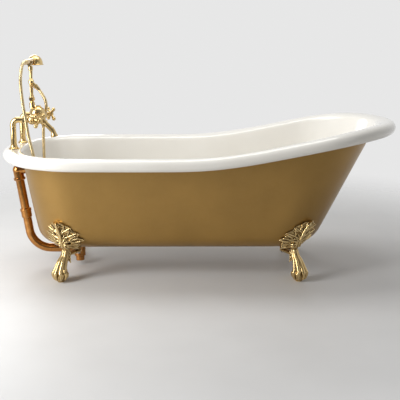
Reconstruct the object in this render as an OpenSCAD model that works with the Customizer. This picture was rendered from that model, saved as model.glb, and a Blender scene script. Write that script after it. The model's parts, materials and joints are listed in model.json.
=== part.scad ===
/* [Bath] */
// Overall length over the rolled rim
bath_l = 1700; // [1600:10:1800]
// Overall width over the rolled rim
bath_w = 760; // [720:5:800]
// Height of the rim's crest at the tap end
rim_h = 540; // [520:5:580]
// How far the rim climbs to the back rest
rim_rise = 118; // [60:2:150]
// Where the climb of the rim starts, from the middle of the bath
rise_from = -60; // [-200:10:100]
// Radius of the rolled rim
roll_r = 27; // [24:1:30]
// Thickness of the cast iron
iron_t = 7; // [6:0.5:9]
// Thickness of the fired enamel
enamel_t = 1.5; // [1:0.25:2]
// Clear height under the bath's floor
under_h = 125; // [115:1:140]

/* [Walls] */
// Inset of the tap end wall from the rim's edge, at rim height
tap_in = 95; // [90:1:105]
// Inset of the head end wall
head_in = 85; // [75:1:95]
// Inset of the side walls
side_in = 71; // [65:1:80]
// How far the tap end wall leans in, from rim to floor
tap_lean = 58; // [30:2:90]
// How far the back rest leans in, from rim to floor
head_lean = 257; // [200:5:280]
// How far the side walls lean in, from rim to floor
side_lean = 92; // [60:2:110]
// Height of the rounding between floor and walls
floor_round = 60; // [45:5:80]
// Height of the rounding from the rim's crest to the walls
rim_round = 24; // [18:1:30]

/* [Feet] */
// Diameter of the ball in each claw
ball_d = 52; // [46:1:58]
// Width of the leaf on each foot
leaf_w = 150; // [120:2:170]
// Height of the leaf's tip above the floor
leaf_h = 252; // [235:1:265]
// How far each paw stands out from its ankle
kick = 44; // [30:1:55]
// Where the tap end feet sit on the end curve, from the bath's long axis
tap_foot_angle = 72; // [66:1:78]
// Where the head end feet sit on the end curve
head_foot_angle = 64; // [58:1:72]
// Way that the tap end feet point, from the bath's long axis
tap_foot_turn = 57; // [50:1:66]
// Way that the head end feet point
head_foot_turn = 58; // [50:1:66]
// Diameter of the foot bolts
bolt_d = 10; // [8:1:12]

/* [Waste and overflow] */
// Distance of the waste from the middle of the bath, towards the taps
waste_off = 535; // [480:5:540]
// Outer diameter of the waste and overflow pipe
pipe_d = 38; // [34:1:42]
// Wall of the pipe
pipe_wall = 1.5; // [1:0.25:2.5]
// Height of the overflow's centre
overflow_z = 440; // [425:1:450]
// Distance of the overflow pipe's axis from the bath's outside
overflow_reach = 48; // [44:1:54]
// Height of the lower pipe's axis
drain_z = 76; // [70:1:80]
// Radius of the bend at the foot of the overflow pipe
bend_r = 95; // [80:1:105]
// Lower end of the tailpiece
tail_z = 20; // [12:1:26]
// Diameter of the waste plug
plug_d = 60; // [56:1:64]
// How far the plug lifts
plug_lift = 8; // [6:1:9]

/* [Taps] */
// Distance between the hot and cold inlets
inlet_pitch = 178; // [170:2:190]
// Distance of the inlets from the rim's edge
riser_in = 63; // [60:1:66]
// Diameter of the risers
riser_d = 25; // [22:1:27]
// Diameter of the threaded inlet shanks
shank_d = 20.96; // [20.96:1.06:22.02]
// Height of the tap body's centre over the rim
riser_rise = 124; // [110:2:140]
// Distance of the tap body's bar from the risers
mixer_reach = 82; // [76:1:90]
// Angle of the valves from the bath's long axis
valve_angle = 45; // [35:5:55]
// Radius of the cross handles
cross_r = 38; // [32:1:40]
// Height of the turned column over the tap body's centre
column_h = 214; // [200:2:230]
// Height of the hose outlet over the tap body's centre
outlet_h = 152; // [146:2:160]
// Length of the spout's straight part
spout_l = 52; // [44:1:56]

/* [Hand shower] */
// Diameter of the spray head
head_d = 74; // [64:2:80]
// Length of the handle
handle_l = 190; // [170:2:210]
// Diameter of the hose
hose_d = 14; // [12:1:15]

/* [Hidden] */
hot = 1;
cold = -1;
// Thin gap that keeps the enamel's back clear of the iron's face
coat_gap = 0.1;
shell_t = enamel_t + coat_gap + iron_t;
basin_floor = under_h + shell_t;
head_rim_h = rim_h + rim_rise;

// Steps round each end of the bath, and along each side
end_n = 21;
side_n = 8;

// The rim's height over the length: level, then an S-shaped climb
function rise(t) = let (s = min(1, max(0, t))) s * s * (3 - 2 * s);
function rim_z(x) = rim_h + rim_rise * rise((x - rise_from) / (bath_l / 2 - roll_r - rise_from));

// Wall insets [tap end, head end, side] at a height below the crest
function wall_in(drop) = [
    tap_in + tap_lean * drop / (rim_h - basin_floor),
    head_in + head_lean * drop / (head_rim_h - basin_floor),
    side_in + side_lean * drop / (rim_h + rim_rise / 2 - basin_floor)];
// The same insets at a height above the basin's floor
function wall_in_at(z) = [
    wall_in(rim_h - z)[0],
    wall_in(head_rim_h - z)[1],
    wall_in(rim_h + rim_rise / 2 - z)[2]];

// A point on one end of a ring: the tap end is a squarer curve, of power n
function tap_pt(ins, n, a) =
    let (w = bath_w / 2 - ins[2], x = ins[0] - bath_l / 2 + w,
         c = pow(abs(cos(a)), 2 / n), s = pow(abs(sin(a)), 2 / n))
    [x - w * c, (sin(a) < 0 ? -1 : 1) * w * s];
function head_pt(ins, a) =
    let (w = bath_w / 2 - ins[2], x = bath_l / 2 - ins[1] - w)
    [x + w * cos(a), w * sin(a)];
// A whole ring, counter-clockwise from the head end's -Y corner
function ring_xy(ins, n) =
    let (head = [for (i = [0:end_n]) head_pt(ins, -90 + 180 * i / end_n)],
         tap = [for (i = [0:end_n]) tap_pt(ins, n, 90 - 180 * i / end_n)])
    concat(head, between(head[end_n], tap[0]), tap, between(tap[end_n], head[0]));
function between(a, b) = [for (i = [1:side_n - 1]) a + (b - a) * i / side_n];

// Each ring of the basin's face: [insets, power n, height, from the rim, facing angle]
roll_rings = [for (b = [-150:30:0])
    [[1, 1, 1] * roll_r * (1 + sin(b)), 2, roll_r * (1 - cos(b)), true, b]];
crest_round = [8, 45, 36];
// How square the tap end is in plan: 2 is a round end
brow_power = 2.7;
corner_power = 2.2;
brow_rings = [for (b = [0:30:90])
    let (drop = rim_round * (1 - cos(b)))
    [wall_in(drop) - crest_round * (1 - sin(b)), brow_power, drop, true, b]];
corner_round = [60, 50, 70];
corner_rings = [for (b = [90:-22.5:0])
    let (z = basin_floor + floor_round * (1 - cos(b)))
    [wall_in_at(z) + corner_round * (1 - sin(b)), corner_power, z, false, b]];
face_rings = concat(roll_rings, brow_rings, corner_rings);
outline = ring_xy([0, 0, 0], 2);

// One ring, moved into the wall by a depth
function sunk_ring(r, depth) =
    let (xy = ring_xy(r[0] - [1, 1, 1] * depth * sin(r[4]), r[1]), d = depth * cos(r[4]))
    [for (j = [0:len(xy) - 1])
        [xy[j].x, xy[j].y, r[3] ? rim_z(outline[j].x) - r[2] - d : r[2] - d]];
function skin(depth) = [for (r = face_rings) sunk_ring(r, depth)];

// A closed solid between two depths of the basin's wall, with a fan over each side of the floor.
// Both sides split their quads along the same diagonals, so that layers never cross.
module basin_layer(face, back) {
    hidden = skin(back);
    rings = concat([for (i = [len(face_rings) - 1:-1:0]) hidden[i]], skin(face));
    n = len(outline);
    m = len(rings);
    polyhedron(
        points = concat([for (r = rings) each r],
            [[0, 0, basin_floor - back], [0, 0, basin_floor - face]]),
        faces = concat(
            [for (i = [0:m - 2], j = [0:n - 1]) each
                let (k = (j + 1) % n, a = i * n)
                i < m / 2
                    ? [[a + j, a + n + j, a + n + k], [a + j, a + n + k, a + k]]
                    : [[a + j, a + n + j, a + k], [a + k, a + n + j, a + n + k]]],
            [for (j = [0:n - 1]) [j, (j + 1) % n, m * n]],
            [for (j = [0:n - 1]) [(m - 1) * n + (j + 1) % n, (m - 1) * n + j, m * n + 1]]));
}

// Clearances: flat seats, threaded fits, running fits
seat = 0.3;
slip = 0.1;
run = 0.05;
fine = 64;

// The tap end has a flat over its middle step, where the overflow sits
tilt = atan(tap_lean / (rim_h - basin_floor));
function tap_wall_x(z) = tap_pt(wall_in_at(z), (brow_power + corner_power) / 2, 90 / end_n).x;

// A turned piece from [radius, height] points
module turned(profile) {
    rotate_extrude($fn = fine) polygon(profile);
}
module ring_solid(outer, inner, h) {
    difference() {
        cylinder(r = outer, h = h, $fn = fine);
        translate([0, 0, -1]) cylinder(r = inner, h = h + 2, $fn = fine);
    }
}
module hex_nut(across, bore, h) {
    difference() {
        cylinder(r = across / 2 / cos(30), h = h, $fn = 6);
        translate([0, 0, -1]) cylinder(r = bore, h = h + 2, $fn = fine);
    }
}

// Overflow: local z is outwards through the wall, local x is up the wall
pipe_r = pipe_d / 2;
overflow_hole = 26;
flange_t = 5;
gasket_t = 3;
elbow_r = pipe_r + 4;
module at_overflow() {
    translate([tap_wall_x(overflow_z), 0, overflow_z])
        rotate([0, -90 - tilt, 0])
            children();
}
pipe_off = shell_t + overflow_reach;
// Along the pipe, local z runs down the wall
module down_pipe(s) {
    at_overflow() translate([-s, 0, pipe_off]) rotate([0, -90, 0]) children();
}
// The point where the pipe's line meets the lower pipe's axis
pipe_x0 = tap_wall_x(overflow_z) - pipe_off * cos(tilt);
pipe_z0 = overflow_z - pipe_off * sin(tilt);
drop_l = (pipe_z0 - drain_z) / cos(tilt);
meet_x = pipe_x0 + drop_l * sin(tilt);
bend_a = 90 - tilt;
bend_run = bend_r * tan(bend_a / 2);
elbow_drop = 34;
joint_s = drop_l - bend_run - 90;
socket_l = 26;

module pipe(l) {
    ring_solid(pipe_r, pipe_r - pipe_wall, l);
}
module overflow_plate() {
    color("goldenrod") at_overflow()
        difference() {
            translate([0, 0, -seat]) mirror([0, 0, 1]) difference() {
                turned([[0, 0], [37, 0], [37, 1.5], [33, 4], [0, 5.5]]);
                for (a = [-30:15:30], side = [-1, 1])
                    rotate([0, 0, 90 + a]) translate([side * 26, 0, -1]) cylinder(r = 2.2, h = 9, $fn = fine);
            }
            for (side = [-1, 1])
                translate([side * plate_screw_at, 0, -9]) cylinder(r = 2.6, h = 12, $fn = fine);
        }
}
plate_screw_at = 21;
module overflow_screws() {
    color("gold") at_overflow() for (side = [-1, 1])
        translate([side * plate_screw_at, 0, 0]) {
            translate([0, 0, -7]) cylinder(r = 2.5, h = 18, $fn = fine);
            translate([0, 0, -8.2]) cylinder(r = 4, h = 2.2, $fn = fine);
        }
}
module overflow_gasket() {
    color("dimgray") at_overflow() translate([0, 0, shell_t + seat])
        ring_solid(34, overflow_hole, gasket_t);
}
module overflow_elbow() {
    color("peru") at_overflow() difference() {
        union() {
            translate([0, 0, shell_t + seat + gasket_t]) cylinder(r = 34, h = flange_t, $fn = fine);
            translate([0, 0, 1]) cylinder(r = overflow_hole - 1, h = shell_t + 12, $fn = fine);
            cylinder(r = elbow_r - 2, h = pipe_off, $fn = fine);
            translate([0, 0, pipe_off]) sphere(r = elbow_r, $fn = fine);
            translate([-elbow_drop, 0, pipe_off]) rotate([0, 90, 0]) cylinder(r = elbow_r - 1, h = elbow_drop, $fn = fine);
        }
        translate([0, 0, -1]) cylinder(r = pipe_r - 3, h = pipe_off + 1, $fn = fine);
        translate([-elbow_drop - 1, 0, pipe_off]) rotate([0, 90, 0]) cylinder(r = pipe_r - 3, h = elbow_drop + 1, $fn = fine);
        translate([-elbow_drop - 1, 0, pipe_off]) rotate([0, 90, 0]) cylinder(r = pipe_r + slip, h = socket_l, $fn = fine);
        for (side = [-1, 1])
            translate([side * plate_screw_at, 0, 0]) cylinder(r = 2.5 + slip, h = 12, $fn = fine);
    }
}
nut_r = elbow_r + 3;
module overflow_nut() {
    color("peru") down_pipe(elbow_drop + seat) difference() {
        turned([[0, 0], [nut_r, 0], [nut_r, 9], [pipe_r + 2, 13], [0, 13]]);
        translate([0, 0, -1]) cylinder(r = pipe_r + slip, h = 20, $fn = fine);
    }
}
module overflow_tube() {
    color("peru") down_pipe(elbow_drop - socket_l + 2) pipe(joint_s + socket_l - 4 - elbow_drop + socket_l - 2);
}
module slip_nut() {
    color("peru") down_pipe(joint_s - 14) difference() {
        union() {
            turned([[0, 0], [pipe_r + 1.5, 0], [pipe_r + 6, 4], [pipe_r + 6, 13.7], [0, 13.7]]);
        }
        translate([0, 0, -1]) cylinder(r = pipe_r + slip, h = 20, $fn = fine);
    }
}
// The bend is a hair thinner than the straight lengths, which run a little way over it
bend_skin = 0.05;
bend_lap = 0.5;
module bend_arc(r) {
    translate([meet_x + bend_run, 0, drain_z + bend_r]) rotate([90, 0, 0]) rotate([0, 0, -90 - bend_a])
        rotate_extrude(angle = bend_a, $fn = fine) translate([bend_r, 0]) circle(r = r, $fn = fine);
}
module bend_foot(r, l) {
    translate([meet_x + bend_run - bend_lap, 0, drain_z]) rotate([0, 90, 0]) cylinder(r = r, h = l + bend_lap, $fn = fine);
}
module overflow_bend() {
    straight_l = drop_l - bend_run - joint_s + bend_lap;
    foot_l = tee_x - tee_arm + socket_l - 6 - meet_x - bend_run;
    color("peru") difference() {
        union() {
            down_pipe(joint_s) turned([[0, 0], [pipe_r + 4, 0], [pipe_r + 4, socket_l], [pipe_r, socket_l + 6],
                [pipe_r, straight_l], [0, straight_l]]);
            bend_arc(pipe_r - bend_skin);
            bend_foot(pipe_r, foot_l);
        }
        down_pipe(joint_s) turned([[0, -1], [pipe_r + slip, -1], [pipe_r + slip, socket_l], [pipe_r - pipe_wall, socket_l],
            [pipe_r - pipe_wall, straight_l], [0, straight_l]]);
        bend_arc(pipe_r - pipe_wall - bend_skin);
        bend_foot(pipe_r - pipe_wall, foot_l + 1);
    }
}

// Waste
tee_x = -waste_off;
tee_arm = 52;
tee_r = pipe_r + 6;
waste_r = 21;
tee_top = under_h - seat - gasket_t - seat;
tee_foot = drain_z - pipe_r - 6;
module at_waste() {
    translate([tee_x, 0, 0]) children();
}
module inlet_nut() {
    color("peru") translate([tee_x - tee_arm - seat, 0, drain_z]) rotate([0, -90, 0]) difference() {
        turned([[0, 0], [pipe_r + 6, 0], [pipe_r + 6, 10], [pipe_r + 1.5, 14], [0, 14]]);
        translate([0, 0, -1]) cylinder(r = pipe_r + slip, h = 20, $fn = fine);
    }
}
// The side inlet is a little narrower than the drop through the tee
side_bore_r = pipe_r - 3.5;
module waste_tee() {
    color("saddlebrown") at_waste() difference() {
        union() {
            translate([0, 0, tee_foot]) cylinder(r = tee_r, h = tee_top - tee_foot, $fn = fine);
            translate([0, 0, tee_top - 8]) cylinder(r = tee_r + 6, h = 8, $fn = fine);
            translate([-tee_arm, 0, drain_z]) rotate([0, 90, 0]) cylinder(r = pipe_r + 4, h = tee_arm, $fn = fine);
        }
        translate([0, 0, tee_foot + 5]) cylinder(r = pipe_r - 2, h = tee_top, $fn = fine);
        translate([0, 0, waste_foot - 1]) cylinder(r = waste_r + slip, h = tee_top, $fn = fine);
        translate([0, 0, tee_foot - 1]) cylinder(r = pipe_r + slip, h = 9, $fn = fine);
        translate([-tee_arm - 1, 0, drain_z]) rotate([0, 90, 0]) cylinder(r = side_bore_r, h = tee_arm, $fn = fine);
        translate([-tee_arm - 1, 0, drain_z]) rotate([0, 90, 0]) cylinder(r = pipe_r + slip, h = socket_l, $fn = fine);
    }
}
waste_foot = drain_z + pipe_r + 3;
flange_r = 35;
module waste_gasket() {
    color("dimgray") at_waste() translate([0, 0, under_h - seat - gasket_t])
        ring_solid(tee_r + 4, waste_r + 1.5, gasket_t);
}
guide_r = 5;
stem_r = 3;
module waste_flange() {
    color("gold") at_waste() difference() {
        union() {
            translate([0, 0, basin_floor + seat]) turned([[0, 0], [flange_r, 0], [flange_r - 1, 2], [plug_d / 2 + 1, 3.5], [plug_d / 2 + 0.6, 3.5],
                [plug_d / 2 - 4, 1.6], [0, 1.6]]);
            translate([0, 0, waste_foot]) cylinder(r = waste_r, h = basin_floor + 1 - waste_foot, $fn = fine);
        }
        difference() {
            translate([0, 0, waste_foot - 1]) cylinder(r = waste_r - 3, h = 80, $fn = fine);
            for (a = [0, 90]) rotate([0, 0, a])
                translate([-waste_r, -1.5, basin_floor - 14]) cube([2 * waste_r, 3, 8]);
            translate([0, 0, basin_floor - 16]) cylinder(r = guide_r, h = 12, $fn = fine);
        }
        translate([0, 0, basin_floor - 20]) cylinder(r = stem_r + run, h = 30, $fn = fine);
    }
}
module waste_plug() {
    color("gold") at_waste() {
        translate([0, 0, basin_floor + 2.4]) turned([[0, 0], [plug_d / 2 - 4.5, 0], [plug_d / 2 - 0.3, 2.2], [plug_d / 2 - 1, 4.2], [plug_d / 4, 6], [0, 6.4]]);
        translate([0, 0, basin_floor - 22]) cylinder(r = stem_r, h = 26, $fn = fine);
    }
}
// The free end that goes into the trap
tail_l = 16;
module tailpiece() {
    color("peru") at_waste() translate([0, 0, tail_z]) difference() {
        turned([[0, 0], [pipe_r, 0], [pipe_r, tail_l], [pipe_r - 0.5, tail_l], [pipe_r - 0.5, tail_l + 1], [pipe_r, tail_l + 1],
            [pipe_r, tee_foot + 4 - tail_z], [0, tee_foot + 4 - tail_z]]);
        translate([0, 0, -1]) cylinder(r = pipe_r - pipe_wall, h = tee_foot, $fn = fine);
    }
}
module tailpiece_nut() {
    color("peru") at_waste() translate([0, 0, tee_foot - 12 - seat]) difference() {
        turned([[0, 0], [pipe_r + 1.5, 0], [pipe_r + 6, 3], [pipe_r + 6, 12], [0, 12]]);
        translate([0, 0, -1]) cylinder(r = pipe_r + slip, h = 20, $fn = fine);
    }
}

// The iron bath: shell, foot lugs, and holes for the feet, waste, overflow and taps
module tub_shell() {
    color("darkgoldenrod") difference() {
        union() {
            basin_layer(enamel_t + coat_gap, shell_t);
            for (tap = [true, false], far = [true, false])
                foot_frame(tap, far) translate([-bolt_in, 0, lug_z]) cylinder(r = 14, h = lug_t + 5, $fn = fine);
        }
        for (tap = [true, false], far = [true, false])
            foot_frame(tap, far) translate([-bolt_in, 0, lug_z - 1])
                cylinder(r = bolt_d / 2 + slip, h = lug_t + 2, $fn = fine);
        basin_holes();
    }
}
module enamel_lining() {
    color("ivory") difference() {
        basin_layer(0, enamel_t);
        basin_holes();
    }
}
module basin_holes() {
    at_waste() translate([0, 0, under_h - 20]) cylinder(r = waste_r + 1, h = 40, $fn = fine);
    at_overflow() translate([0, 0, -20]) cylinder(r = overflow_hole, h = 40, $fn = fine);
    for (side = [hot, cold])
        at_inlet(side) translate([0, 0, rim_h - 30]) cylinder(r = shank_r + 1, h = 60, $fn = fine);
}

// Feet: a point on the bath's outside, near side, at an angle from the long axis
zc = basin_floor + floor_round;
function end_pt(tap, ins, n, a) =
    let (w = bath_w / 2 - ins[2], past = max(0, a - 90) * PI / 180 * w, b = min(a, 90),
         c = pow(cos(b), 2 / n), s = pow(sin(b), 2 / n))
    tap ? [ins[0] - bath_l / 2 + w - w * c + past, -w * s]
        : [bath_l / 2 - ins[1] - w + w * c - past, -w * s];
function end_power(tap, top) = tap ? (top ? brow_power : corner_power) : 2;
// The way out of the wall at an angle
function out_dir(tap, a) = let (b = min(a, 90)) [(tap ? -1 : 1) * cos(b), -sin(b)];
function wall_pt(tap, a, z, out) =
    let (u = out_dir(tap, a), d = shell_t)
    z >= zc
        ? let (top = end_pt(tap, wall_in(rim_round) - [d, d, d], end_power(tap, true), a),
               low = end_pt(tap, wall_in_at(zc) - [d, d, d], end_power(tap, false), a),
               rim = rim_z(end_pt(tap, [0, 0, 0], 2, a).x) - rim_round,
               p = low + (top - low) * (z - zc) / (rim - zc))
          [p.x + u.x * out, p.y + u.y * out, z]
        : let (cb = min(1, (zc - z) / (floor_round + d)), b = acos(cb),
               ins = wall_in_at(basin_floor + floor_round * (1 - cb)) + corner_round * (1 - sin(b)) - [d, d, d] * sin(b),
               p = end_pt(tap, ins, end_power(tap, false), a))
          [p.x + u.x * out * sin(b), p.y + u.y * out * sin(b), z - out * cb];

// Triangles of a closed tube or slab from rings of points, all of one length
function band_faces(m, n) = concat(
    [for (i = [0:m - 2], j = [0:n - 1]) each
        let (k = (j + 1) % n, a = i * n)
        [[a + j, a + n + j, a + k], [a + k, a + n + j, a + n + k]]],
    [for (j = [1:n - 2]) [0, j, j + 1]],
    [for (j = [1:n - 2]) [(m - 1) * n, (m - 1) * n + j + 1, (m - 1) * n + j]]);
module ring_loft(rings) {
    polyhedron(points = [for (r = rings) each r], faces = band_faces(len(rings), len(rings[0])));
}

// Acanthus leaf: outline with four lobes a side, a midrib and veins
leaf_low = 138;
leaf_rows = 16;
leaf_cols = 8;
leaf_lobes = 4;
leaf_edge = 3.5;
leaf_gap = 0.8;
leaf_wide = 0.32;
// The leaf leans towards the bath's end as it climbs, because it follows the way that the leg points
leaf_lean = 7;
function leaf_half(t) = leaf_w / 2 * (0.55 + 0.45 * pow(sin(90 * min(1, t / leaf_wide)), 1.2))
    * (t > leaf_wide ? pow(cos(77 * (t - leaf_wide) / (1 - leaf_wide)), 0.8) : 1) * (1 + 0.13 * cos(360 * (t * leaf_lobes - 0.35)));
function leaf_thick(s, t) = leaf_edge + (1 - abs(s)) * (15 - 7 * t) + 2.6 * (1 - s * s) * cos(360 * (abs(s) * 2.2 - t * leaf_lobes))
    + 4 * max(0, 1 - abs(s) * 5) + (t > 0.85 ? 30 * (t - 0.85) : 0);
function leaf_pt(tap, foot_a, t, s, out) =
    let (half = leaf_half(t), w = bath_w / 2 - wall_in_at(zc)[2] + shell_t)
    wall_pt(tap, foot_a - leaf_lean * t + s * half / w * 180 / PI, leaf_low + t * (leaf_h - leaf_low), out);
module leaf(tap, foot_a) {
    rings = [for (i = [0:leaf_rows]) let (t = i / leaf_rows) concat(
        [for (j = [0:leaf_cols]) let (s = 2 * j / leaf_cols - 1) leaf_pt(tap, foot_a, t, s, leaf_gap)],
        [for (j = [leaf_cols:-1:0]) let (s = 2 * j / leaf_cols - 1) leaf_pt(tap, foot_a, t, s, leaf_gap + leaf_thick(s, t))])];
    ring_loft(tap ? [for (r = rings) [for (k = [len(r) - 1:-1:0]) r[k]]] : rings);
}

// Leg sections: [distance out, height, half width, half depth]
ball_r = ball_d / 2;
leg_sections = [[23, 182, 16, 9], [20, 168, 21, 12], [14, 152, 21, 15], [7, 136, 18, 15], [2, 120, 14, 12.5], [4, 104, 12.5, 11.5],
    [12, 90, 14.5, 13], [25, 77, 19, 16], [36, 67, 22, 19], [kick - 1, 57, 22, 21], [kick, 46, 17, 17]];
leg_sides = 12;
module leg() {
    ring_loft([for (i = [len(leg_sections) - 1:-1:0]) let (p = leg_sections[i])
        [for (k = [0:leg_sides - 1]) let (a = 360 * k / leg_sides)
            [p[0] + p[3] * cos(a), p[2] * sin(a), p[1]]]]);
}
// Each talon lies over the ball: [angle from the top, lift off the ball, radius]
talon_line = [[33, 3.4, 6.2], [54, 4.6, 7.2], [74, 5.2, 7.8], [95, 3.1, 5.8], [119, 0.6, 2.1]];
talon_sides = 8;
module talon(turn, reach) {
    rotate([0, 0, turn])
        ring_loft([for (i = [0:len(talon_line) - 1])
            let (p = talon_line[i], a = p[0] * reach, r = ball_r + p[1])
            [for (k = [0:talon_sides - 1]) let (b = 360 * k / talon_sides)
                [(r + p[2] * cos(b)) * sin(a), -p[2] * sin(b), (r + p[2] * cos(b)) * cos(a)]]]);
}
// Claw and ball foot, in its own frame: x runs out from the bath
bolt_in = 68;
tongue_t = 8;
lug_t = 12;
lug_z = under_h - lug_t;
module foot_frame(tap, far) {
    a = tap ? tap_foot_angle : head_foot_angle;
    p = wall_pt(tap, a, zc - 30, 0);
    u = out_dir(tap, tap ? tap_foot_turn : head_foot_turn);
    mirror([0, far ? 1 : 0, 0])
        translate([p.x, p.y, 0])
            rotate([0, 0, atan2(u.y, u.x)])
                children();
}
module foot(tap, far) {
    color("gold") difference() {
        union() {
            mirror([0, far ? 1 : 0, 0]) leaf(tap, tap ? tap_foot_angle : head_foot_angle);
            foot_frame(tap, far) {
                leg();
                translate([kick, 0, ball_r]) {
                    sphere(r = ball_r, $fn = fine);
                    for (turn = [-108, -54, 0, 54, 108]) talon(turn, 1);
                    talon(180, 0.85);
                }
                translate([kick, 0, 0]) cylinder(r = 15, h = 6, $fn = fine);
                translate([-bolt_in, 0, lug_z - seat - tongue_t]) cylinder(r = 15, h = tongue_t, $fn = fine);
                translate([-bolt_in, -15, lug_z - seat - tongue_t]) cube([bolt_in + 4, 30, tongue_t]);
            }
        }
        foot_frame(tap, far) translate([-bolt_in, 0, 0])
            cylinder(r = bolt_d / 2 + slip, h = under_h, $fn = fine);
    }
}
module foot_washers() {
    color("silver") for (tap = [true, false], far = [true, false])
        foot_frame(tap, far) translate([-bolt_in, 0, lug_z - seat - tongue_t - 2])
            ring_solid(bolt_d, bolt_d / 2 + slip, 2);
}
module foot_bolts() {
    color("silver") for (tap = [true, false], far = [true, false])
        foot_frame(tap, far) translate([-bolt_in, 0, lug_z - seat - tongue_t - 2]) {
            translate([0, 0, -0.6 * bolt_d]) cylinder(r = 0.85 * bolt_d / cos(30), h = 0.6 * bolt_d, $fn = 6);
            translate([0, 0, -1]) cylinder(r = bolt_d / 2, h = tongue_t + 12, $fn = fine);
        }
}

// Hose: from the hand shower's nut, down into the basin and up to the column
hose_route = [[-720, -124.2, 905], [-720, -142, 902], [-720, -172, 889], [-720, -193, 866], [-721, -202, 837],
    [-721, -199, 797], [-721, -177, 735], [-718, -155, 670], [-714, -137, 605], [-706, -118, 540],
    [-699, -103, 490], [-692, -91, 430], [-687, -82, 375], [-684, -79, 328], [-682, -65, 293],
    [-681, -39, 271], [-681, -8, 264], [-683, 25, 272], [-685, 50, 295], [-687, 63, 330],
    [-689, 62, 380], [-690, 59, 450], [-689, 57, 530], [-687, 55, 600], [-682, 52, 645],
    [-675, 45, 671], [-668, 35, 692], [-664, 23, 714], [-665, 12, 736], [-673, 5, 758],
    [-687.2, 0, 783.2]];
hose_sides = 10;
hose_steps = 2;
function spline(p, i, t) =
    let (a = p[max(0, i - 1)], b = p[i], c = p[i + 1], d = p[min(len(p) - 1, i + 2)])
    0.5 * (2 * b + (c - a) * t + (2 * a - 5 * b + 4 * c - d) * t * t + (3 * b - a - 3 * c + d) * t * t * t);
function unit(v) = v / norm(v);
module swept_tube(route, r, sides, steps) {
    line = concat([for (i = [0:len(route) - 2], k = [0:steps - 1]) spline(route, i, k / steps)], [route[len(route) - 1]]);
    n = len(line);
    ring_loft([for (i = [0:n - 1])
        let (t = unit(i == 0 ? [0, -1, 0] : i == n - 1 ? [-sin(outlet_tilt), 0, -cos(outlet_tilt)] : line[i + 1] - line[i - 1]),
             e = unit([1, 0, 0] - t.x * t), f = cross(t, e))
        [for (k = [0:sides - 1]) line[i] + r * (cos(360 * k / sides) * e + sin(360 * k / sides) * f)]]);
}
module hose() {
    color("gold") swept_tube(hose_route, hose_d / 2, hose_sides, hose_steps);
}

// Taps: hot on the far side, cold on the near side
riser_x = riser_in - bath_l / 2;
mix_x = riser_x + mixer_reach;
mix_z = rim_h + riser_rise;
riser_r = riser_d / 2;
shank_r = shank_d / 2;
deck_z = rim_h;
under_deck = rim_h - shell_t;
elbow_bend = 22;
union_l = 16;
hub_r = 21;
spigot = 30;
module at_inlet(side) {
    translate([riser_x, side * inlet_pitch / 2, 0]) children();
}
// One riser: threaded shank, tube, elbow and a level end towards the tap body
module riser(side) {
    color("gold") at_inlet(side) {
        translate([0, 0, under_deck - shank_l]) difference() {
            turned([[0, 0], [shank_r, 0], [shank_r, inlet_l], [shank_r - 1, inlet_l], [shank_r - 1, inlet_l + 1.5],
                [shank_r, inlet_l + 1.5], [shank_r, shank_l + shell_t + 2], [0, shank_l + shell_t + 2]]);
            translate([0, 0, -1]) cylinder(r = bore_r, h = shank_l + shell_t + 4, $fn = fine);
        }
        translate([0, 0, deck_z + 2]) difference() {
            turned([[0, 0], [riser_r, 0], [riser_r, mix_z - elbow_bend - deck_z - 8], [riser_r + 1.5, mix_z - elbow_bend - deck_z - 6],
                [riser_r + 1.5, mix_z - elbow_bend - deck_z - 2], [0, mix_z - elbow_bend - deck_z - 2]]);
            translate([0, 0, -1]) cylinder(r = bore_r, h = riser_rise, $fn = fine);
        }
        translate([elbow_bend, 0, mix_z - elbow_bend]) rotate([90, 0, 0]) rotate([0, 0, 90])
            rotate_extrude(angle = 90, $fn = fine) translate([elbow_bend, 0]) difference() {
                circle(r = riser_r, $fn = fine);
                circle(r = bore_r, $fn = fine);
            }
        translate([elbow_bend, 0, mix_z]) rotate([0, 90, 0])
            ring_solid(riser_r, bore_r, mixer_reach - elbow_bend - spigot - seat);
    }
}
bore_r = 7.5;
shank_l = 38;
// The free threaded end that takes the supply connector
inlet_l = 22;
// Bell-shaped flange round the riser's foot
module riser_flange(side) {
    color("gold") at_inlet(side) translate([0, 0, deck_z + seat]) difference() {
        turned([[0, 0], [22, 0], [22, 3], [19, 5], [16, 8], [riser_r + 1.6, 14], [riser_r + 1.6, 17], [0, 17]]);
        translate([0, 0, -1]) cylinder(r = riser_r + slip, h = 20, $fn = fine);
    }
}
washer_t = 3;
module deck_washer(side) {
    color("dimgray") at_inlet(side) translate([0, 0, under_deck - seat - washer_t])
        ring_solid(17, shank_r + slip, washer_t);
}
module shank_nut(side) {
    color("goldenrod") at_inlet(side) translate([0, 0, under_deck - seat - washer_t - 9])
        hex_nut(30, shank_r + slip, 9);
}
module union_nut(side) {
    color("gold") translate([mix_x - spigot - union_l / 2, side * inlet_pitch / 2, mix_z]) rotate([0, 90, 0]) difference() {
        union() {
            cylinder(r = (riser_r + 4) / cos(30), h = union_l - 3, $fn = 6);
            cylinder(r = riser_r + 3, h = union_l, $fn = fine);
        }
        translate([0, 0, -1]) cylinder(r = riser_r + slip, h = union_l + 2, $fn = fine);
    }
}
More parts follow.
